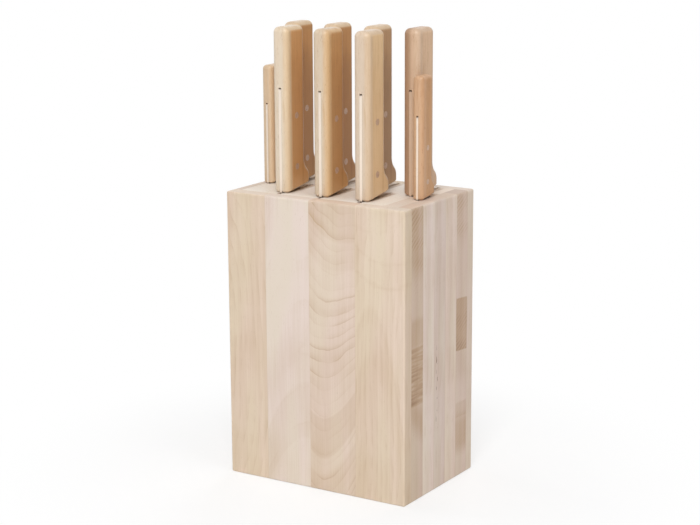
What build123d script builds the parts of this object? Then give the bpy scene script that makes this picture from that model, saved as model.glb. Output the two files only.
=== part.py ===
from build123d import *
from dataclasses import dataclass
import os

# Knife block: the origin is the middle of the underside, x runs left to right along the
# front, y from front to back and z up. Every size is in millimetres.

# Boards of the block
block_width = 158.0
left_stave_widths = [35.5, 39.5, 40.5]
cover_board_thickness = 10.0
side_stave_width = 17.0
side_stave_count = 5
block_height = 225.0
block_edge_round = 1.6

# Slots
slot_width = 3.2
slot_front_gap = 0.4
slot_back_gap = 2.0
narrowest_strip = 4.0
large_slot_floor = 12.0
small_slot_floor = 112.0

# Places of the knives: x of each blade, and how far its spine lies behind the front face
row_pitch = 35.6
front_row_first_x = -37.8
front_row_spine = 14.0
back_row_first_x = -53.0
back_row_spine = 51.0
left_small_x = -70.0
left_small_spine = 43.0
right_small_x = 66.0
right_small_spine = 40.0
handle_seat_gap = 0.3

# Fits inside a knife
kerf_side_gap = 0.05
kerf_end_gap = 1.2
rivet_hole_gap = 0.03


@dataclass
class Handle:
    """Sizes of a handle; heights are measured up from its blade end."""

    thickness: float
    depth: float
    length: float
    edge_round: float
    guard_depth: float
    guard_top: float
    guard_peak: float
    end_rise: float
    end_chamfer: float
    tang_length: float
    tang_thickness: float
    rivet_diameter: float
    rivet_heights: tuple
    rivet_from_spine: float
    neck_length: float


@dataclass
class Blade:
    """Outline of a blade: the powers say how late spine and edge turn towards the tip."""

    length: float
    width: float
    tip_drop: float
    spine_power: float
    edge_power: float
    tooth_pitch: float = 0.0


@dataclass
class Knife:
    """One knife and its place in the block."""

    name: str
    x: float
    spine: float
    handle: Handle
    blade: Blade
    slot_floor: float


large_handle = Handle(
    thickness=13.5,
    depth=24.5,
    length=125.0,
    edge_round=4.25,
    guard_depth=31.2,
    guard_top=24.0,
    guard_peak=9.5,
    end_rise=4.6,
    end_chamfer=1.4,
    tang_length=78.5,
    tang_thickness=2.2,
    rivet_diameter=5.0,
    rivet_heights=(19.0, 58.0),
    rivet_from_spine=12.5,
    neck_length=6.0,
)

small_handle = Handle(
    thickness=9.0,
    depth=16.0,
    length=92.0,
    edge_round=3.2,
    guard_depth=20.0,
    guard_top=17.0,
    guard_peak=7.0,
    end_rise=3.0,
    end_chamfer=1.0,
    tang_length=61.5,
    tang_thickness=1.6,
    rivet_diameter=4.0,
    rivet_heights=(13.0, 38.5),
    rivet_from_spine=8.2,
    neck_length=4.0,
)

# Blade shapes
carving = Blade(length=180.0, width=27.0, tip_drop=0.06, spine_power=4.0, edge_power=4.5)
fillet_blade = Blade(length=170.0, width=21.0, tip_drop=0.10, spine_power=3.0, edge_power=3.2)
kitchen = Blade(length=150.0, width=31.0, tip_drop=0.08, spine_power=4.0, edge_power=3.2)
bread = Blade(
    length=200.0,
    width=32.0,
    tip_drop=0.45,
    spine_power=8.0,
    edge_power=9.0,
    tooth_pitch=7.0,
)
chef = Blade(length=195.0, width=42.0, tip_drop=0.06, spine_power=4.0, edge_power=3.0)
santoku = Blade(length=170.0, width=42.0, tip_drop=0.78, spine_power=6.0, edge_power=3.0)
boning = Blade(length=130.0, width=22.0, tip_drop=0.15, spine_power=3.0, edge_power=3.5)
vegetable = Blade(length=76.0, width=17.0, tip_drop=0.80, spine_power=5.0, edge_power=3.0)
paring = Blade(length=95.0, width=18.0, tip_drop=0.12, spine_power=3.0, edge_power=3.0)

# Grinding of the blades
edge_thickness = 0.35
tip_depth = 0.8
tip_taper = 0.5
grind_steps = 12
tooth_radius = 5.0
tooth_bite = 1.3
toothed_share = 0.9


def row(first_x, spine, blades):
    """Large knives side by side, one row pitch apart."""
    return [
        Knife(name, first_x + i * row_pitch, spine, large_handle, blade, large_slot_floor)
        for i, (name, blade) in enumerate(blades)
    ]


def small(name, x, spine, blade):
    """A small knife in a shallower slot of its own."""
    return Knife(name, x, spine, small_handle, blade, small_slot_floor)


front_row = row(
    front_row_first_x,
    front_row_spine,
    [("carving", carving), ("fillet", fillet_blade), ("kitchen", kitchen)],
)
back_row = row(
    back_row_first_x,
    back_row_spine,
    [("bread", bread), ("chef", chef), ("santoku", santoku), ("boning", boning)],
)
left_small = [small("vegetable", left_small_x, left_small_spine, vegetable)]
right_small = [small("paring", right_small_x, right_small_spine, paring)]
rows = {
    "front_row": front_row,
    "back_row": back_row,
    "left_small": left_small,
    "right_small": right_small,
}
knives = sorted(front_row + back_row + left_small + right_small, key=lambda knife: knife.x)

# Sizes that follow from the ones above
cover_stave_widths = left_stave_widths + [block_width - sum(left_stave_widths)]
core_depth = side_stave_width * side_stave_count
block_depth = core_depth + 2 * cover_board_thickness
front_face = -block_depth / 2
core_front = front_face + cover_board_thickness
core_back = core_front + core_depth
left_face = -block_width / 2
right_face = block_width / 2


def span_box(x0, x1, y0, y1, z0, z1):
    """A box given by its limits."""
    middle = Pos((x0 + x1) / 2, (y0 + y1) / 2, (z0 + z1) / 2)
    return middle * Box(x1 - x0, y1 - y0, z1 - z0)


def block_blank():
    """The whole block as one piece, with its outer edges rounded."""
    blank = span_box(left_face, right_face, front_face, -front_face, 0, block_height)
    return fillet(blank.edges(), block_edge_round)


blank = block_blank()


def board(x0, x1, y0, y1):
    """One board of the block, as tall as the block."""
    return (blank & span_box(x0, x1, y0, y1, 0, block_height)).solid()


def cover_staves(name, y0, y1):
    """The staves of the front or back board, from left to right."""
    staves = {}
    x = left_face
    for i, width in enumerate(cover_stave_widths):
        staves[f"{name}_stave_{i + 1}"] = [board(x, x + width, y0, y1)]
        x += width
    return staves


def side_staves(name, x0, x1):
    """The staves of an outer side board, from front to back."""
    staves = {}
    for i in range(side_stave_count):
        y = core_front + i * side_stave_width
        staves[f"{name}_side_stave_{i + 1}"] = [board(x0, x1, y, y + side_stave_width)]
    return staves


def core_boards():
    """The boards between neighbouring slots, from left to right."""
    boards = {}
    for i, (left, right) in enumerate(zip(knives, knives[1:])):
        x0 = left.x + slot_width / 2
        x1 = right.x - slot_width / 2
        boards[f"core_board_{i + 1}"] = [board(x0, x1, core_front, core_back)]
    return boards


def slot_span(knife):
    """Front and back limit of a slot; a strip too narrow to glue in is left out."""
    widest = max(k.blade.width for k in knives if k.handle is knife.handle)
    y0 = front_face + knife.spine - slot_front_gap
    y1 = front_face + knife.spine + widest + slot_back_gap
    if y0 - core_front < narrowest_strip:
        y0 = core_front
    if core_back - y1 < narrowest_strip:
        y1 = core_back
    return y0, y1


def spacer_strips(knife):
    """The strips around one slot: in front of it, behind it and below it."""
    y0, y1 = slot_span(knife)
    x0 = knife.x - slot_width / 2
    x1 = knife.x + slot_width / 2
    strips = [span_box(x0, x1, y0, y1, 0, knife.slot_floor)]
    if y0 > core_front:
        strips.append(span_box(x0, x1, core_front, y0, 0, block_height))
    if y1 < core_back:
        strips.append(span_box(x0, x1, y1, core_back, 0, block_height))
    return strips


def handle_outline(h):
    """Side view of a handle: spine on the left, finger guard swelling out at the lower right."""
    turn = ((h.depth + h.guard_depth) / 2, (h.guard_top + h.guard_peak) / 2)
    spine = Line((0, 0), (0, h.length))
    butt = Line((0, h.length), (h.depth, h.length))
    belly = Line((h.depth, h.length), (h.depth, h.guard_top))
    hollow = TangentArc((h.depth, h.guard_top), turn, tangent=(0, -1))
    swell = TangentArc(turn, (h.guard_depth, h.guard_peak), tangent=hollow % 1)
    guard = Line((h.guard_depth, h.guard_peak), (h.guard_depth, h.end_rise))
    end = Line((h.guard_depth, h.end_rise), (0, 0))
    return make_face([spine, butt, belly, hollow, swell, guard, end])


def rivet_places(h):
    """Middle of each rivet, on the plane of the blade."""
    return [Pos(0, h.rivet_from_spine, z) for z in h.rivet_heights]


def crossways(diameter, length):
    """A round pin that lies across the blade."""
    return Rot(0, 90, 0) * Cylinder(diameter / 2, length)


def make_handle(h):
    """A rounded handle in one piece, sawn from spine to belly for the tang."""
    body = extrude(Plane.YZ * handle_outline(h), h.thickness / 2, both=True)
    end, *_, butt = body.faces().sort_by(Axis.Z)
    sides = body.faces().filter_by(Axis.X)
    body = fillet(sides.edges() + butt.edges() - end.edges(), h.edge_round)
    body = chamfer(body.faces().sort_by(Axis.Z)[0].edges(), h.end_chamfer)
    kerf_width = h.tang_thickness + 2 * kerf_side_gap
    kerf_top = h.tang_length + kerf_end_gap
    reach = 2 * h.guard_depth
    body -= span_box(-kerf_width / 2, kerf_width / 2, -reach, reach, -kerf_top, kerf_top)
    for place in rivet_places(h):
        body -= place * crossways(h.rivet_diameter + 2 * rivet_hole_gap, 2 * h.thickness)
    return body.solid()


def make_rivets(h):
    """The rivets, ground flush with both sides of the handle."""
    return [place * crossways(h.rivet_diameter, h.thickness) for place in rivet_places(h)]


def grind_section(h, b, u):
    """Wedge-shaped cross-section at the share u of the blade's length."""
    drop = b.tip_drop * (b.width - tip_depth)
    rise = b.width - tip_depth - drop
    y_spine = drop * u**b.spine_power
    y_edge = b.width - rise * u**b.edge_power
    back = h.tang_thickness / 2 * (1 - tip_taper * u)
    edge = edge_thickness / 2
    corners = [(-back, y_spine), (back, y_spine), (edge, y_edge), (-edge, y_edge)]
    return Pos(0, 0, -h.neck_length - u * b.length) * make_face(Polyline(*corners, close=True))


def saw_teeth(h, b):
    """Round gullets along the edge of a toothed blade."""
    count = int(toothed_share * b.length / b.tooth_pitch)
    y = b.width + tooth_radius - tooth_bite
    first = -h.neck_length - b.tooth_pitch
    places = [Pos(0, y, first - i * b.tooth_pitch) for i in range(count)]
    return [place * crossways(2 * tooth_radius, 2 * h.thickness) for place in places]


def make_blade(h, b):
    """A ground blade with the tang it is cut from in one piece."""
    neck_depth = min(h.depth, b.width)
    tang_limit = Pos(h.guard_depth / 2, h.tang_length / 2) * Rectangle(2 * h.guard_depth, h.tang_length)
    neck_top = h.guard_peak
    neck_middle = Pos(neck_depth / 2, (neck_top - h.neck_length) / 2)
    neck = neck_middle * Rectangle(neck_depth, neck_top + h.neck_length)
    plate = (handle_outline(h) & tang_limit) + neck
    blade = extrude(Plane.YZ * plate, h.tang_thickness / 2, both=True)
    blade += loft([grind_section(h, b, i / grind_steps) for i in range(grind_steps + 1)])
    if b.tooth_pitch:
        blade -= saw_teeth(h, b)
    for place in rivet_places(h):
        blade -= place * crossways(h.rivet_diameter + 2 * rivet_hole_gap, 2 * h.thickness)
    return blade.solid()


def knife_nodes(knife):
    """Blade, handle and rivets of one knife, standing in its slot."""
    seat = Pos(knife.x, front_face + knife.spine, block_height + handle_seat_gap)
    return {
        f"{knife.name}_blade": [seat * make_blade(knife.handle, knife.blade)],
        f"{knife.name}_handle": [seat * make_handle(knife.handle)],
        f"{knife.name}_rivets": [seat * rivet for rivet in make_rivets(knife.handle)],
    }


nodes = {}
nodes.update(cover_staves("front", front_face, core_front))
nodes.update(cover_staves("back", core_back, -front_face))
nodes.update(side_staves("left", left_face, knives[0].x - slot_width / 2))
nodes.update(side_staves("right", knives[-1].x + slot_width / 2, right_face))
nodes.update(core_boards())
for row_name, row_knives in rows.items():
    nodes[f"{row_name}_spacers"] = [s for knife in row_knives for s in spacer_strips(knife)]
for knife in knives:
    nodes.update(knife_nodes(knife))

os.makedirs("parts", exist_ok=True)
for name, solids in nodes.items():
    export_step(Compound(children=solids) if len(solids) > 1 else solids[0], f"parts/{name}.step")
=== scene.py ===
import math
from dataclasses import dataclass

import bpy
from mathutils import Matrix, Vector


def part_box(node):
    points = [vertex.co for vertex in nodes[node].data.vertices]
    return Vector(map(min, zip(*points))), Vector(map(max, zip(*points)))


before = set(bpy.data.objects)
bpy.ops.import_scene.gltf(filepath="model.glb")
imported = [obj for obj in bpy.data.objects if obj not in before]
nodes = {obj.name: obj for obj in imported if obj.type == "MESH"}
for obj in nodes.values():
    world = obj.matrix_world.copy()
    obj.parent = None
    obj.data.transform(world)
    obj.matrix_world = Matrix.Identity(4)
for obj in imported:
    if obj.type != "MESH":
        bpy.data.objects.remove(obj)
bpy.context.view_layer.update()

MM = 0.001
# Outer faces of the block, in millimetres from the middle of its underside
BLOCK_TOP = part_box("front_stave_1")[1].z / MM
BLOCK_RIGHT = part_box("front_stave_4")[1].x / MM
BLOCK_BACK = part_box("back_stave_1")[1].y / MM
KNIVES = ["carving", "fillet", "kitchen", "bread", "chef", "santoku", "boning", "vegetable", "paring"]


class Shader:
    """Builds the nodes of one material; an input may be a socket, a number or a tuple."""

    def __init__(self, name):
        self.material = bpy.data.materials.new(name)
        self.material.use_nodes = True
        self.tree = self.material.node_tree
        self.surface = self.tree.nodes["Principled BSDF"]

    def feed(self, socket, value):
        """Links a socket to this input, or sets the input's own value."""
        if isinstance(value, bpy.types.NodeSocket):
            self.tree.links.new(value, socket)
        elif isinstance(value, tuple) and socket.type == "RGBA":
            socket.default_value = (*value, 1.0)
        else:
            socket.default_value = value

    def node(self, kind, inputs=(), **settings):
        """A new node with its settings and its inputs, by name or by number."""
        made = self.tree.nodes.new(kind)
        for key, value in settings.items():
            setattr(made, key, value)
        for key, value in dict(inputs).items():
            self.feed(made.inputs[key], value)
        return made

    def math(self, operation, *values):
        """One sum on numbers."""
        return self.node("ShaderNodeMath", enumerate(values), operation=operation).outputs[0]

    def vector(self, operation, *values):
        """One sum on vectors."""
        made = self.node("ShaderNodeVectorMath", enumerate(values), operation=operation)
        return made.outputs["Value" if operation == "DOT_PRODUCT" else "Vector"]

    def place(self):
        """Position on the piece at rest, in millimetres of the shared frame."""
        made = self.node("ShaderNodeTexCoord")
        return self.vector("MULTIPLY", made.outputs["Object"], (1 / MM, 1 / MM, 1 / MM))

    def normal(self):
        """The direction in which the surface faces."""
        return self.node("ShaderNodeTexCoord").outputs["Normal"]

    def facing(self):
        """How far the surface faces along x, y and z, either way, each from 0 to 1."""
        return self.split(self.vector("ABSOLUTE", self.normal()))

    def split(self, value):
        """The three parts of a vector."""
        return self.node("ShaderNodeSeparateXYZ", {0: value}).outputs[:3]

    def join(self, x, y, z):
        """A vector from its three parts."""
        return self.node("ShaderNodeCombineXYZ", {0: x, 1: y, 2: z}).outputs[0]

    def noise(self, place, cell, detail=2.0):
        """Smooth noise from 0 to 1 whose cells have this size in millimetres along each axis."""
        inputs = {"Vector": self.vector("DIVIDE", place, cell), "Scale": 1.0, "Detail": detail}
        return self.node("ShaderNodeTexNoise", inputs).outputs["Fac"]

    def ease(self, value, low, high):
        """0 below low, 1 above high and a smooth step between."""
        inputs = {"Value": value, "From Min": low, "From Max": high}
        made = self.node("ShaderNodeMapRange", inputs, interpolation_type="SMOOTHSTEP")
        return made.outputs["Result"]

    def ramp(self, value, stops):
        """A grey level that follows the stops (position, level)."""
        made = self.node("ShaderNodeValToRGB", {"Fac": value})
        elements = made.color_ramp.elements
        while len(elements) < len(stops):
            elements.new(0.5)
        for element, (position, level) in zip(elements, stops):
            element.position = position
            element.color = (level, level, level, 1.0)
        return made.outputs["Color"]

    def mix(self, share, a, b):
        """Colour a blended towards colour b."""
        made = self.node("ShaderNodeMix", data_type="RGBA")
        for socket, value in zip((0, 6, 7), (share, a, b)):
            self.feed(made.inputs[socket], value)
        return made.outputs[2]

    def swing(self, tone, value, amount):
        """The tone with noise round 0.5 added to it."""
        return self.math("MULTIPLY_ADD", self.math("SUBTRACT", value, 0.5), amount, tone)

    def bump(self, height, depth_mm):
        """Relief of this depth on the surface's normal."""
        inputs = {"Height": height, "Distance": depth_mm * MM, "Strength": 1.0}
        self.feed(self.surface.inputs["Normal"], self.node("ShaderNodeBump", inputs).outputs["Normal"])

    def finish(self, **sockets):
        """Sets the shader's own sockets and hands the material over."""
        for key, value in sockets.items():
            self.feed(self.surface.inputs[key.replace("_", " ")], value)
        return self.material


def scaled(colour, factors):
    """A colour with each channel multiplied."""
    return tuple(c * f for c, f in zip(colour, factors))


def dress(node, material):
    """Gives a node of the frame this material."""
    mesh = nodes[node].data
    mesh.materials.clear()
    mesh.materials.append(material)


def middle(node):
    """Middle of a node's box, in millimetres."""
    low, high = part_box(node)
    return Vector((low + high) / 2 / MM)


@dataclass
class Figure:
    """How the growth rings of the tree cross one piece of wood.

    lean is how fast the rings pass per millimetre across, into and up the piece. bend arches
    them over its width, by more or less with the height, and left_bend adds to it on the left.
    bow bulges them over the height. shift moves the middle of the arches sideways, and drift
    moves it further with each millimetre above the middle of the piece. uneven is how much
    their spacing changes along the piece, and stripes how much its long streaks show.
    """

    lean: tuple
    ring: float
    strength: float
    wobble: float
    bend: float = 0.0
    bend_rate: float = 0.0
    left_bend: float = 0.0
    bow: float = 0.0
    shift: float = 0.0
    drift: float = 0.0
    uneven: float = 0.0
    stripes: float = 0.6


@dataclass
class Patch:
    """A length of a stave that is darker, or paler if the tone is negative.

    slant and curve tilt and bend its ends. rings is how much more its growth rings show, curl
    how much its fibres ripple, and specks how dark the short bark specks in it are.
    """

    low: float
    high: float
    tone: float
    slant: float = 0.0
    curve: float = 0.0
    soft: float = 0.8
    rings: float = 0.0
    curl: float = 0.0
    specks: float = 0.0


def straight(tilt, ring=6.5, strength=0.4, wobble=12.0, **shape):
    """Rings of a rift-sawn piece, which show as long lines."""
    return Figure((1.0, 0.4, tilt), ring, strength, wobble, **shape)


def arched(lean_up, bend, ring=3.2, strength=0.5, wobble=1.2, uneven=1.8, stripes=0.3, **shape):
    """Rings of a flat-sawn piece, which show as nested arches."""
    lean = (0.0, 1.0, lean_up)
    return Figure(lean, ring, strength, wobble, bend, uneven=uneven, stripes=stripes, **shape)


def level_height(shader, across, height, figure):
    """Height along the piece, counted along its arches."""
    bend = shader.math("MULTIPLY_ADD", height, figure.bend_rate, figure.bend)
    drop = shader.math("MULTIPLY", bend, shader.math("MULTIPLY", across, across))
    left = shader.math("MINIMUM", across, 0.0)
    drop = shader.math("MULTIPLY_ADD", shader.math("MULTIPLY", left, left), figure.left_bend, drop)
    return shader.math("SUBTRACT", height, drop)


# Shade across one growth ring: early wood, then the thin late-wood line
RING_SHADES = [(0.0, 0.0), (0.45, 0.1), (0.85, 0.5), (0.93, 1.0), (1.0, 0.0)]
# The fine part of a figure's wobble, and how much of its rings shows where they are faintest
FINE_WOBBLE, FAINTEST_RINGS = 0.12, 0.15


def growth_rings(shader, across, depth, height, figure):
    """Shade of the growth rings, 0 in early wood and 1 in the thin late-wood line."""
    place = shader.join(across, depth, height)
    level = level_height(shader, across, height, figure)
    run = shader.vector("DOT_PRODUCT", shader.join(across, depth, level), figure.lean)
    if figure.bow:
        run = shader.math("MULTIPLY_ADD", shader.math("MULTIPLY", height, height), figure.bow, run)
    spacing = shader.noise(shader.join(0.0, 0.0, level), cell=(1.0, 1.0, 17.0), detail=1.0)
    waves = shader.noise(place, cell=(16.0, 16.0, 70.0), detail=1.0)
    fine_waves = shader.noise(place, cell=(2.5, 2.5, 12.0), detail=2.0)
    run = shader.swing(run, spacing, figure.uneven)
    run = shader.swing(run, waves, figure.wobble)
    run = shader.swing(run, fine_waves, FINE_WOBBLE * figure.wobble)
    phase = shader.math("FRACT", shader.math("DIVIDE", run, figure.ring))
    line = shader.ramp(phase, RING_SHADES)
    clouds = shader.noise(shader.join(across, depth, level), cell=(24.0, 24.0, 15.0), detail=1.0)
    clear = shader.ease(clouds, low=0.35, high=0.65)
    share = shader.math("MULTIPLY_ADD", clear, 1.0 - FAINTEST_RINGS, FAINTEST_RINGS)
    return shader.math("MULTIPLY", line, share)


def edge_polish_and_highlight(shader, place, reach=3.0, full=0.6):
    """1 along the outer edges of the block, where hands have polished it pale and a highlight is painted on.
    """
    x, y, z = shader.split(shader.vector("ABSOLUTE", place))
    near_side = shader.ease(x, BLOCK_RIGHT - reach, BLOCK_RIGHT - full)
    near_face = shader.ease(y, BLOCK_BACK - reach, BLOCK_BACK - full)
    near_top = shader.ease(z, BLOCK_TOP - reach, BLOCK_TOP - full)
    upright = shader.math("MULTIPLY", near_side, near_face)
    rim = shader.math("MULTIPLY", near_top, shader.math("MAXIMUM", near_side, near_face))
    return shader.math("MAXIMUM", upright, rim)


def band(shader, value, low, high, soft):
    """1 between low and high, with soft ends."""
    above = shader.ease(value, low - soft, low + soft)
    below = shader.ease(value, high + soft, high - soft)
    return shader.math("MULTIPLY", above, below)


def painted_slot_shade(shader, place, node, full=0.55, none=1.15, start=5.0, past=10.0, soft=4.0):
    """1 on the painted shade round the slots' mouths, which stands in for the shadow under the handles' feet.

    A track is full and gives out at these parts of the handle's half width. It starts behind
    the handle's spine and runs past its guard, by millimetres.
    """
    low, high = (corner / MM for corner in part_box(node))
    x, y, z = shader.split(place)
    slot_shade = 0.0
    for knife in KNIVES:
        handle_low, handle_high = (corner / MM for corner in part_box(f"{knife}_handle"))
        slot_x, half_width = (handle_low.x + handle_high.x) / 2, (handle_high.x - handle_low.x) / 2
        if low.x - half_width < slot_x < high.x + half_width:
            aside = shader.math("ABSOLUTE", shader.math("SUBTRACT", x, slot_x))
            near = shader.ease(aside, none * half_width, full * half_width)
            along = band(shader, y, handle_low.y + start, handle_high.y + past, soft)
            slot_shade = shader.math("MAXIMUM", slot_shade, shader.math("MULTIPLY", near, along))
    on_top = shader.ease(z, BLOCK_TOP - 2.0, BLOCK_TOP - 1.0)
    return shader.math("MULTIPLY", slot_shade, on_top)


# Late wood and the deepest brown against the palest wood of a piece
LATE_WOOD, DEEP_WOOD = (0.76, 0.66, 0.54), (0.52, 0.39, 0.28)
# The palest wood where it is yellower or pinker, and on polished edges with a painted highlight
YELLOWER, PINKER, POLISH_AND_HIGHLIGHT = (0.985, 1.0, 0.965), (1.015, 1.0, 1.035), (1.05, 1.06, 1.08)
# Tone between the rings, and how far the colours of flecks, glue, the painted shade round the slots and the
# polished edges with their painted highlight cover the wood
PLAIN_TONE = 0.15
FLECK_SHARE, GLUE_SHARE, SLOT_SHADE_SHARE, EDGE_SHARE = 0.3, 0.3, 0.75, 0.12
# Where a glue line starts and is full, in millimetres from the joint
GLUE_REACH, GLUE_FULL = 0.35, 0.1


def block_wood(node, light, figure, sideways=False, patches=(), end_shade=(0.97, 0.98, 0.98), slots=False):
    """Sanded pale hardwood: rings, fibres, ray flecks, end grain, glue lines and polished edges with a
    painted highlight.

    light is its palest colour and end_shade multiplies it on the end grain. A sideways piece has
    its width along y, and a piece with slots gets painted shade round their mouths, as if from the handles'
    feet.
    """
    shader = Shader(node)
    dark, deep = scaled(light, LATE_WOOD), scaled(light, DEEP_WOOD)
    place = shader.place()
    centre = middle(node)
    moved = shader.vector("SUBTRACT", place, tuple(centre))
    x, y, z = shader.split(moved)
    across, depth = (y, x) if sideways else (x, y)
    shift = shader.math("MULTIPLY_ADD", shader.math("MAXIMUM", z, 0.0), figure.drift, figure.shift)
    apart = shader.math("SUBTRACT", across, shift)
    rings = growth_rings(shader, apart, depth, z, figure)
    fibre = shader.noise(moved, cell=(0.7, 0.7, 40.0), detail=3.0)
    streaks = shader.noise(moved, cell=(4.0, 4.0, 400.0), detail=1.0)
    clouds = shader.noise(moved, cell=(24.0, 24.0, 60.0), detail=1.0)
    tone = shader.math("MULTIPLY_ADD", rings, figure.strength, PLAIN_TONE)
    tone = shader.swing(tone, fibre, amount=0.6)
    tone = shader.swing(tone, streaks, figure.stripes)
    tone = shader.swing(tone, clouds, amount=0.8)
    level = shader.math("ADD", level_height(shader, apart, z, figure), centre.z)
    ripple = shader.math("SUBTRACT", shader.noise(moved, cell=(30.0, 30.0, 2.0), detail=2.0), 0.5)
    for patch in patches:
        tilt = shader.math("MULTIPLY_ADD", apart, patch.curve, patch.slant)
        along = shader.math("MULTIPLY_ADD", apart, tilt, level)
        change = shader.math("MULTIPLY_ADD", rings, patch.rings, patch.tone)
        change = shader.math("MULTIPLY_ADD", ripple, patch.curl, change)
        within = band(shader, along, patch.low, patch.high, patch.soft)
        tone = shader.math("MULTIPLY_ADD", within, change, tone)
    blush = shader.ease(shader.noise(moved, cell=(17.0, 17.0, 90.0), detail=1.0), low=0.35, high=0.65)
    pale = shader.mix(blush, scaled(light, YELLOWER), scaled(light, PINKER))
    colour = shader.mix(tone, pale, dark)
    colour = shader.mix(shader.math("SUBTRACT", tone, 1.0), colour, deep)
    flecks = shader.ease(shader.noise(moved, cell=(0.5, 0.5, 3.4), detail=1.0), low=0.66, high=0.74)
    fleck_colour = scaled(dark, (0.82, 0.78, 0.74))
    colour = shader.mix(shader.math("MULTIPLY", flecks, FLECK_SHARE), colour, fleck_colour)
    if any(patch.specks for patch in patches):
        specks = shader.ease(shader.noise(moved, cell=(1.5, 1.5, 7.0), detail=2.0), low=0.59, high=0.65)
        column = shader.ease(shader.math("ABSOLUTE", apart), low=1.8, high=0.8)
        specks = shader.math("MULTIPLY", specks, column)
        speck_colour = scaled(deep, (0.7, 0.7, 0.7))
        for patch in patches:
            within = band(shader, level, patch.low, patch.high, patch.soft)
            share = shader.math("MULTIPLY", within, patch.specks)
            colour = shader.mix(shader.math("MULTIPLY", specks, share), colour, speck_colour)
    half_width = (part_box(node)[1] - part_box(node)[0])[1 if sideways else 0] / 2 / MM
    glue = shader.ease(shader.math("ABSOLUTE", across), half_width - GLUE_REACH, half_width - GLUE_FULL)
    colour = shader.mix(shader.math("MULTIPLY", glue, GLUE_SHARE), colour, dark)
    pores = shader.ease(shader.noise(moved, cell=(0.45, 0.45, 400.0), detail=2.0), low=0.48, high=0.72)
    end_tone = shader.math("MULTIPLY_ADD", rings, 0.3, shader.math("MULTIPLY", pores, 0.3))
    end_colour = shader.mix(end_tone, scaled(light, end_shade), scaled(dark, end_shade))
    if slots:
        # Painted shade on the end grain round the slots' mouths, where the handles' feet would shade it
        slot_shade = shader.math("MULTIPLY", painted_slot_shade(shader, place, node), SLOT_SHADE_SHARE)
        end_colour = shader.mix(slot_shade, end_colour, deep)
    end_grain = shader.ease(shader.facing()[2], low=0.6, high=0.95)
    colour = shader.mix(end_grain, colour, end_colour)
    # Paler outer edges: polish and a painted highlight
    polish_and_highlight = shader.math("MULTIPLY", edge_polish_and_highlight(shader, place), EDGE_SHARE)
    colour = shader.mix(polish_and_highlight, colour, scaled(light, POLISH_AND_HIGHLIGHT))
    shader.bump(shader.math("MULTIPLY_ADD", flecks, -0.5, fibre), depth_mm=0.05)
    roughness = shader.math("MULTIPLY_ADD", fibre, 0.16, 0.46)
    return shader.finish(Base_Color=colour, Roughness=roughness, Specular_IOR_Level=0.3)


@dataclass
class KnifeLook:
    """Colours of one knife: its handle's narrow faces, left and right, its right face and its tang.

    The left and right colours of the narrow faces differ by painted shade, the right face's colour
    is painted shade and the tang's a painted highlight. The handle's left face has the right
    colour of the narrow faces. flecks is how strongly the wood is flecked. turn is where the left
    colour of the narrow faces starts and ends to give way to the right one, in half widths from
    the middle.
    """

    left: tuple
    right: tuple
    side: tuple
    tang: tuple
    flecks: float = 0.3
    turn: tuple = (0.2, 1.0)


HANDLE_FIGURE = Figure(lean=(0.45, 0.8, 0.02), ring=3.4, strength=0.5, wobble=5.0)
# Where the colour of a handle's broad faces, painted shade on the right one, starts and is full, in
# millimetres behind its spine
SHADE_DEPTHS_BEHIND_SPINE = (4.2, 7.6)
# How far up its foot painted bounce light from the block is strongest and gives out, in millimetres, and by
# how much it lightens the painted shade
FOOT_BOUNCE_HEIGHTS = (3.0, 16.0)
FOOT_BOUNCE_SHARE = 0.2


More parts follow.
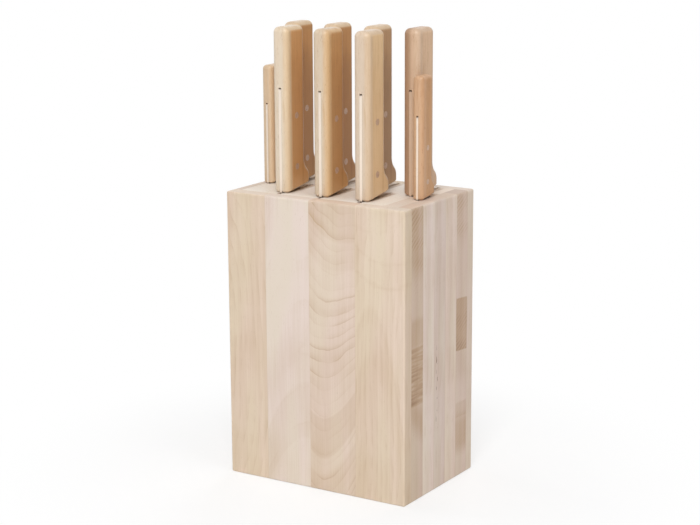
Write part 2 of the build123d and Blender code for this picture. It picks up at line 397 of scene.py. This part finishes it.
def handle_wood(node, look):
    """Varnished hardwood with painted shade on the right face, lifted near its foot by painted bounce light
    from the block.
    """
    shader = Shader(node)
    centre = middle(node)
    low, high = (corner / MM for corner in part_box(node))
    place = shader.place()
    moved = shader.vector("SUBTRACT", place, tuple(centre))
    turn_start, turn_end = ((high.x - centre.x) * part for part in look.turn)
    spine = shader.mix(shader.ease(shader.split(moved)[0], turn_start, turn_end), look.left, look.right)
    fibre = shader.noise(moved, cell=(0.6, 0.6, 30.0), detail=3.0)
    clouds = shader.noise(moved, cell=(7.0, 7.0, 45.0), detail=2.0)
    streaks = shader.noise(moved, cell=(3.2, 3.2, 220.0), detail=1.0)
    mottle = shader.noise(moved, cell=(1.5, 1.5, 7.0), detail=2.0)
    rings = growth_rings(shader, *shader.split(moved), HANDLE_FIGURE)
    tone = shader.math("MULTIPLY", rings, HANDLE_FIGURE.strength)
    tone = shader.swing(tone, fibre, amount=0.9)
    tone = shader.swing(tone, clouds, amount=0.9)
    tone = shader.swing(tone, streaks, amount=1.3)
    tone = shader.swing(tone, mottle, amount=2.0 * look.flecks)
    shade_past_spine = shader.ease(shader.split(place)[1], low.y + SHADE_DEPTHS_BEHIND_SPINE[0], low.y + SHADE_DEPTHS_BEHIND_SPINE[1])
    broad = shader.math("MULTIPLY", shader.ease(shader.facing()[0], low=0.88, high=1.0), shade_past_spine)
    # Painted bounce light from the block's top near the handle's foot
    foot_bounce = shader.ease(shader.split(place)[2], low.z + FOOT_BOUNCE_HEIGHTS[1], low.z + FOOT_BOUNCE_HEIGHTS[0])
    broad = shader.math("MULTIPLY_ADD", shader.math("MULTIPLY", broad, foot_bounce), -FOOT_BOUNCE_SHARE, broad)
    # The right face gets the painted shade colour
    right_face_shade = shader.ease(shader.split(shader.normal())[0], low=0.0, high=0.5)
    side = shader.mix(right_face_shade, look.right, look.side)
    plain = shader.mix(broad, spine, side)
    figured_spine = scaled(look.right, (0.84, 0.76, 0.66))
    figured_shaded_side = shader.mix(right_face_shade, figured_spine, scaled(look.side, (0.78, 0.70, 0.62)))
    colour = shader.mix(tone, plain, shader.mix(broad, figured_spine, figured_shaded_side))
    flecks = shader.ease(shader.noise(moved, cell=(0.45, 0.45, 3.0), detail=1.0), low=0.65, high=0.73)
    fleck_colour = scaled(look.side, (0.62, 0.52, 0.44))
    colour = shader.mix(shader.math("MULTIPLY", flecks, look.flecks), colour, fleck_colour)
    shader.bump(shader.math("MULTIPLY_ADD", flecks, -0.4, fibre), depth_mm=0.03)
    roughness = shader.math("MULTIPLY_ADD", clouds, 0.16, 0.32)
    return shader.finish(Base_Color=colour, Roughness=roughness, Coat_Weight=0.1, Coat_Roughness=0.22)


# The last colour is painted shade on the heel, in the gap under the handle
STEEL, PALE_STEEL, HEEL_SHADE_STEEL = (0.50, 0.50, 0.51), (0.64, 0.64, 0.64), (0.26, 0.20, 0.155)
# The length of the painted shade on the heel, in the gap under the handle, in millimetres below and above the
# top of the block
HEEL_BELOW, HEEL_ABOVE, HEEL_SOFT = 3.0, 7.0, 3.0


def ground_steel(node, centre, tang_highlight_tone):
    """Blade steel, ground from spine to edge, with painted shade on its heel in the gap under the handle, and
    where the polished tang shows in the handle a painted highlight in a pale, mostly non-metallic colour.
    """
    shader = Shader(node)
    place = shader.place()
    moved = shader.vector("SUBTRACT", place, tuple(centre))
    scratches = shader.noise(moved, cell=(2.0, 18.0, 0.14), detail=3.0)
    smears = shader.noise(moved, cell=(12.0, 12.0, 24.0), detail=2.0)
    colour = shader.mix(shader.ease(scratches, low=0.3, high=0.7), STEEL, PALE_STEEL)
    height = shader.split(place)[2]
    heel_shade = band(shader, height, BLOCK_TOP - HEEL_BELOW, BLOCK_TOP + HEEL_ABOVE, HEEL_SOFT)
    # Painted shade on the heel in the gap under the handle
    colour = shader.mix(shader.math("MULTIPLY", heel_shade, 0.8), colour, HEEL_SHADE_STEEL)
    in_handle = shader.ease(height, BLOCK_TOP, BLOCK_TOP + 1.0)
    # Where the tang shows, its glint is painted as a pale colour
    tang = shader.math("MULTIPLY", in_handle, shader.ease(shader.facing()[1], low=0.5, high=0.9))
    smeared_tang_highlight = scaled(tang_highlight_tone, (0.92, 0.91, 0.90))
    colour = shader.mix(tang, colour, shader.mix(smears, tang_highlight_tone, smeared_tang_highlight))
    shader.bump(scratches, depth_mm=0.012)
    roughness = shader.math("MULTIPLY_ADD", scratches, 0.14, shader.math("MULTIPLY_ADD", smears, 0.12, 0.18))
    # Less metal where the tang's highlight is painted
    tang_highlight_metallic = shader.math("MULTIPLY_ADD", tang, -0.7, 1.0)
    return shader.finish(Base_Color=colour, Roughness=roughness, Metallic=tang_highlight_metallic, Anisotropic=0.35)


RIVET, PALE_RIVET, STAINED_RIVET = (0.56, 0.395, 0.285), (0.69, 0.495, 0.37), (0.45, 0.30, 0.215)


def rivet_metal(node):
    """Dull soft metal, filed flush with the wood."""
    shader = Shader(node)
    place = shader.place()
    filing = shader.noise(place, cell=(3.0, 0.12, 2.5), detail=2.0)
    stain = shader.noise(place, cell=(1.6, 1.6, 1.6), detail=2.0)
    colour = shader.mix(shader.ease(filing, low=0.3, high=0.7), RIVET, PALE_RIVET)
    colour = shader.mix(shader.ease(stain, low=0.5, high=0.75), colour, STAINED_RIVET)
    shader.bump(filing, depth_mm=0.01)
    roughness = shader.math("MULTIPLY_ADD", filing, 0.2, 0.42)
    return shader.finish(Base_Color=colour, Roughness=roughness, Metallic=0.5)


# Front and back boards: the palest colour of each stave, from left to right
COVER_TONES = [(0.745, 0.608, 0.476), (0.775, 0.665, 0.580), (0.755, 0.628, 0.525), (0.750, 0.620, 0.495)]
FRONT_FIGURES = [
    straight(0.02, bow=0.0012),
    arched(0.05, -0.03, ring=1.6, strength=0.15, shift=18.0),
    arched(-0.15, 0.022, ring=1.5, bend_rate=-0.0002, left_bend=0.018, shift=-10.0, drift=0.18),
    straight(-0.02, ring=4.5, bend=-0.12, shift=-8.0),
]
# How the end grain on top differs from each stave's own colour
FRONT_END_SHADES = [(1.04, 1.09, 1.17), (0.99, 1.01, 1.03), (0.97, 0.93, 0.90), (1.04, 1.09, 1.16)]
BACK_FIGURES = [
    straight(-0.03, ring=5.0),
    arched(0.13, -0.03, shift=4.0),
    straight(0.02, bow=-0.001),
    arched(-0.06, 0.02, ring=3.6),
]
# Darker and paler lengths between two arches, the pale top of the second front stave and the
# single arches of the fourth
FRONT_PATCHES = {
    1: [Patch(140.0, 240.0, -0.2, soft=30.0), Patch(40.0, 84.0, 0.12, soft=2.0)],
    2: [
        Patch(-40.0, 11.0, 0.25, soft=3.0),
        Patch(26.0, 58.0, 0.3, soft=1.5, rings=-0.3),
        Patch(58.0, 78.0, 0.05, soft=6.0, rings=-0.25),
        Patch(78.0, 114.0, 0.03, soft=5.0, rings=0.3),
        Patch(128.0, 152.0, 0.0, soft=4.0, rings=0.2),
        Patch(152.0, 174.0, -0.06, soft=1.5, rings=-0.3),
        Patch(174.0, 196.0, 0.08, soft=1.5, rings=-0.15),
        Patch(196.0, 300.0, 0.28, soft=1.5, rings=0.2),
    ],
    3: [
        Patch(-200.0, 150.0, 0.12, soft=4.0),
        Patch(154.0, 300.0, -0.06, soft=6.0),
        Patch(167.5, 170.0, 0.16, slant=0.45, curve=-0.136, soft=2.2, curl=0.4),
        Patch(185.5, 187.5, 0.11, slant=0.45, curve=-0.136, soft=2.0, curl=0.4),
        Patch(205.5, 207.5, 0.09, slant=0.08, curve=-0.14, soft=2.0, curl=0.4),
        Patch(220.5, 222.0, 0.07, slant=0.2, curve=-0.135, soft=2.0, curl=0.4),
    ],
}
for i in range(4):
    front, back = f"front_stave_{i + 1}", f"back_stave_{i + 1}"
    patches = FRONT_PATCHES.get(i, ())
    wood = block_wood(front, COVER_TONES[i], FRONT_FIGURES[i], patches=patches, end_shade=FRONT_END_SHADES[i])
    dress(front, wood)
    dress(back, block_wood(back, COVER_TONES[(i + 2) % 4], BACK_FIGURES[i]))

# Side boards, from front to back: some staves are shorter pieces joined end to end
SIDE_TONES = [
    (0.660, 0.522, 0.416),
    (0.780, 0.662, 0.580),
    (0.710, 0.588, 0.510),
    (0.760, 0.628, 0.532),
    (0.700, 0.562, 0.472),
]
SIDE_FIGURES = [
    straight(-1.3, ring=5.2, strength=0.15, wobble=6.0),
    straight(0.03),
    straight(-0.05, ring=5.0, shift=-4.0),
    straight(0.04),
    straight(-1.6, ring=5.6, strength=0.15, wobble=5.0),
]
RIGHT_END_SHADES = [
    (1.12, 1.13, 1.15),
    (0.92, 0.89, 0.86),
    (0.93, 0.91, 0.88),
    (0.87, 0.85, 0.82),
    (0.84, 0.83, 0.83),
]
LEFT_END_SHADES = [
    (0.95, 0.96, 0.95),
    (0.90, 0.91, 0.90),
    (0.92, 0.93, 0.94),
    (1.00, 1.04, 1.07),
    (0.87, 0.87, 0.86),
]
JOINED_LENGTHS = {
    0: [
        Patch(176.0, 260.0, 0.52, soft=12.0, rings=0.9),
        Patch(119.0, 141.0, 0.5, soft=3.5),
        Patch(75.0, 119.0, 0.85, soft=1.2, curl=2.6),
        Patch(54.0, 75.0, 0.65, slant=0.8, soft=9.0),
    ],
    2: [Patch(48.0, 114.0, 0.0, soft=8.0, specks=0.9)],
    4: [
        Patch(188.0, 260.0, 0.3, soft=9.0, rings=0.7),
        Patch(101.5, 143.0, 0.85, slant=0.08, soft=0.6, rings=0.8),
        Patch(78.0, 101.5, 0.15, slant=0.08, soft=9.0),
        Patch(48.0, 60.0, 0.35, slant=0.04, soft=1.0),
        Patch(21.0, 48.0, 0.7, slant=0.04, soft=7.0),
    ],
}
for i in range(5):
    for side, k, end_shades in (("right", i, RIGHT_END_SHADES), ("left", (i + 2) % 5, LEFT_END_SHADES)):
        node = f"{side}_side_stave_{i + 1}"
        lengths = JOINED_LENGTHS.get(k, ())
        dress(node, block_wood(node, SIDE_TONES[k], SIDE_FIGURES[k], True, lengths, end_shades[i]))

# Core boards and spacers show their end grain on top, less pale at the right, and their flanks
# in the slots
CORE_TONES = [(0.760, 0.640, 0.530), (0.735, 0.612, 0.500), (0.775, 0.660, 0.560)]
CORE_END_SHADE = (1.15, 1.26, 1.37)
DARKER_END_SHADES = {"core_board_8": (1.10, 1.14, 1.20), "right_small_spacers": (1.04, 1.05, 1.07)}
CORE_NODES = [f"core_board_{i + 1}" for i in range(8)]
CORE_NODES += [f"{place}_spacers" for place in ("front_row", "back_row", "left_small", "right_small")]
for i, node in enumerate(CORE_NODES):
    figure = straight(0.03 if i % 2 else -0.04, ring=4.0, strength=0.5)
    end_shade = DARKER_END_SHADES.get(node, CORE_END_SHADE)
    # slots=True paints shade round the slots' mouths on top
    wood = block_wood(node, CORE_TONES[i % 3], figure, sideways=True, end_shade=end_shade, slots=True)
    dress(node, wood)

# Painted highlights of the polished tangs, the brighter one on the knives that catch more light
BRIGHTER_TANG_HIGHLIGHT, DIMMER_TANG_HIGHLIGHT = (0.98, 0.85, 0.72), (0.92, 0.80, 0.68)
# Per knife: narrow faces left and right, right face, tang. The right faces' colours are painted shade, darker
# where a neighbour or the front row shades them; the boning knife's left colour is painted shade too, and the
# tangs are painted highlights
KNIFE_LOOKS = {
    "carving": KnifeLook((0.755, 0.630, 0.485), (0.700, 0.520, 0.325), (0.620, 0.330, 0.132), BRIGHTER_TANG_HIGHLIGHT),
    "fillet": KnifeLook((0.680, 0.550, 0.410), (0.665, 0.435, 0.225), (0.58, 0.31, 0.122), BRIGHTER_TANG_HIGHLIGHT, 0.4),
    "kitchen": KnifeLook((0.695, 0.555, 0.425), (0.655, 0.478, 0.312), (0.735, 0.513, 0.292), BRIGHTER_TANG_HIGHLIGHT),
    "bread": KnifeLook((0.680, 0.520, 0.360), (0.660, 0.480, 0.300), (0.510, 0.246, 0.073), DIMMER_TANG_HIGHLIGHT),
    "chef": KnifeLook((0.680, 0.520, 0.360), (0.660, 0.480, 0.300), (0.510, 0.246, 0.073), DIMMER_TANG_HIGHLIGHT),
    "santoku": KnifeLook((0.680, 0.520, 0.360), (0.660, 0.480, 0.300), (0.470, 0.268, 0.122), DIMMER_TANG_HIGHLIGHT),
    "boning": KnifeLook(
        (0.408, 0.250, 0.155), (0.625, 0.440, 0.302), (0.685, 0.460, 0.292), (0.74, 0.56, 0.42),
        flecks=0.6, turn=(-0.35, 0.25),
    ),
    "vegetable": KnifeLook((0.650, 0.485, 0.325), (0.810, 0.610, 0.410), (0.76, 0.57, 0.41), DIMMER_TANG_HIGHLIGHT, 0.4),
    "paring": KnifeLook((0.618, 0.392, 0.237), (0.597, 0.350, 0.194), (0.567, 0.306, 0.14), BRIGHTER_TANG_HIGHLIGHT, 0.6),
}
for knife in KNIVES:
    handle, look = f"{knife}_handle", KNIFE_LOOKS[knife]
    dress(handle, handle_wood(handle, look))
    dress(f"{knife}_blade", ground_steel(f"{knife}_blade", middle(handle), look.tang))
    dress(f"{knife}_rivets", rivet_metal(f"{knife}_rivets"))


def make_floor(reach=6.0, shadow_reach=0.09, white_reach=0.3, white_share=0.55):
    """A wide pale floor that keeps a soft shadow near the block and is white further out."""
    mesh = bpy.data.meshes.new("floor")
    corners = [(-reach, -reach, 0), (reach, -reach, 0), (reach, reach, 0), (-reach, reach, 0)]
    mesh.from_pydata(corners, [], [(0, 1, 2, 3)])
    floor = bpy.data.objects.new("floor", mesh)
    bpy.context.scene.collection.objects.link(floor)
    shader = Shader("floor")
    shader.finish(Base_Color=(0.97, 0.97, 0.97), Roughness=0.9, Specular_IOR_Level=0.0)
    distance = shader.node("ShaderNodeVectorMath", {0: shader.place()}, operation="LENGTH").outputs["Value"]
    far = shader.ease(distance, shadow_reach / MM, white_reach / MM)
    far = shader.math("MULTIPLY_ADD", far, 1.0 - white_share, white_share)
    seen = shader.node("ShaderNodeLightPath").outputs["Is Camera Ray"]
    white = shader.node("ShaderNodeEmission", {"Color": (1.0, 1.0, 1.0), "Strength": 1.0}).outputs[0]
    lit = shader.surface.outputs[0]
    mixed = shader.node("ShaderNodeMixShader", {0: shader.math("MULTIPLY", far, seen), 1: lit, 2: white})
    shader.feed(shader.tree.nodes["Material Output"].inputs["Surface"], mixed.outputs[0])
    mesh.materials.append(shader.material)


def make_world(soft_light):
    """White where it is seen or mirrored, and a softer even light everywhere else."""
    world = bpy.data.worlds.new("studio")
    bpy.context.scene.world = world
    world.use_nodes = True
    tree = world.node_tree
    path = tree.nodes.new("ShaderNodeLightPath")
    seen = path.outputs["Is Camera Ray"]
    for other in ("Is Glossy Ray", "Is Transmission Ray"):
        either = tree.nodes.new("ShaderNodeMath")
        either.operation = "MAXIMUM"
        tree.links.new(seen, either.inputs[0])
        tree.links.new(path.outputs[other], either.inputs[1])
        seen = either.outputs[0]
    strength = tree.nodes.new("ShaderNodeMapRange")
    strength.inputs["To Min"].default_value = soft_light
    strength.inputs["To Max"].default_value = 1.0
    tree.links.new(seen, strength.inputs["Value"])
    background = tree.nodes["Background"]
    background.inputs["Color"].default_value = (1.0, 1.0, 1.0, 1.0)
    tree.links.new(strength.outputs["Result"], background.inputs["Strength"])


LAMP_AIM = Vector((0.0, 0.0, 0.2))


def soft_box(name, right_turn, elevation, size, share, mirrored=True, distance=2.2):
    """A square lamp that gives a surface facing it this share of full white.

    right_turn is counted from the front of the block, in degrees, as elevation is.
    """
    lamp = bpy.data.lights.new(name, "AREA")
    lamp.shape = "SQUARE"
    lamp.size = size
    lamp.energy = share * (math.pi * distance) ** 2
    thing = bpy.data.objects.new(name, lamp)
    thing.visible_glossy = mirrored
    bpy.context.scene.collection.objects.link(thing)
    turn, rise = math.radians(right_turn), math.radians(elevation)
    away = Vector((math.sin(turn) * math.cos(rise), -math.cos(turn) * math.cos(rise), math.sin(rise)))
    thing.location = LAMP_AIM + distance * away
    thing.rotation_euler = (-away).to_track_quat("-Z", "Y").to_euler()


def make_camera():
    """The camera of the photograph, found from the block's six visible corners."""
    turn, tilt, roll = math.radians(32.16), math.radians(12.77), math.radians(-0.30)
    ahead = Vector((-math.sin(turn) * math.cos(tilt), math.cos(turn) * math.cos(tilt), -math.sin(tilt)))
    lens = bpy.data.cameras.new("camera")
    lens.sensor_width = 36.0
    lens.lens = 93.2
    camera = bpy.data.objects.new("camera", lens)
    bpy.context.scene.collection.objects.link(camera)
    camera.location = (0.7251, -1.1543, 0.4769)
    level = ahead.to_track_quat("-Z", "Y")
    camera.rotation_euler = (level @ Matrix.Rotation(roll, 3, "Z").to_quaternion()).to_euler()
    bpy.context.scene.camera = camera


make_floor()
make_world(soft_light=0.28)
soft_box("key", right_turn=26.0, elevation=38.0, size=0.8, share=0.58)
soft_box("right", right_turn=75.0, elevation=50.0, size=0.8, share=0.13)
soft_box("left", right_turn=-88.0, elevation=32.0, size=1.0, share=0.18, mirrored=False)
soft_box("top", right_turn=0.0, elevation=85.0, size=1.2, share=0.06)
soft_box("back", right_turn=190.0, elevation=32.0, size=1.0, share=0.22, mirrored=False)
make_camera()
bpy.context.scene.view_settings.view_transform = "Standard"
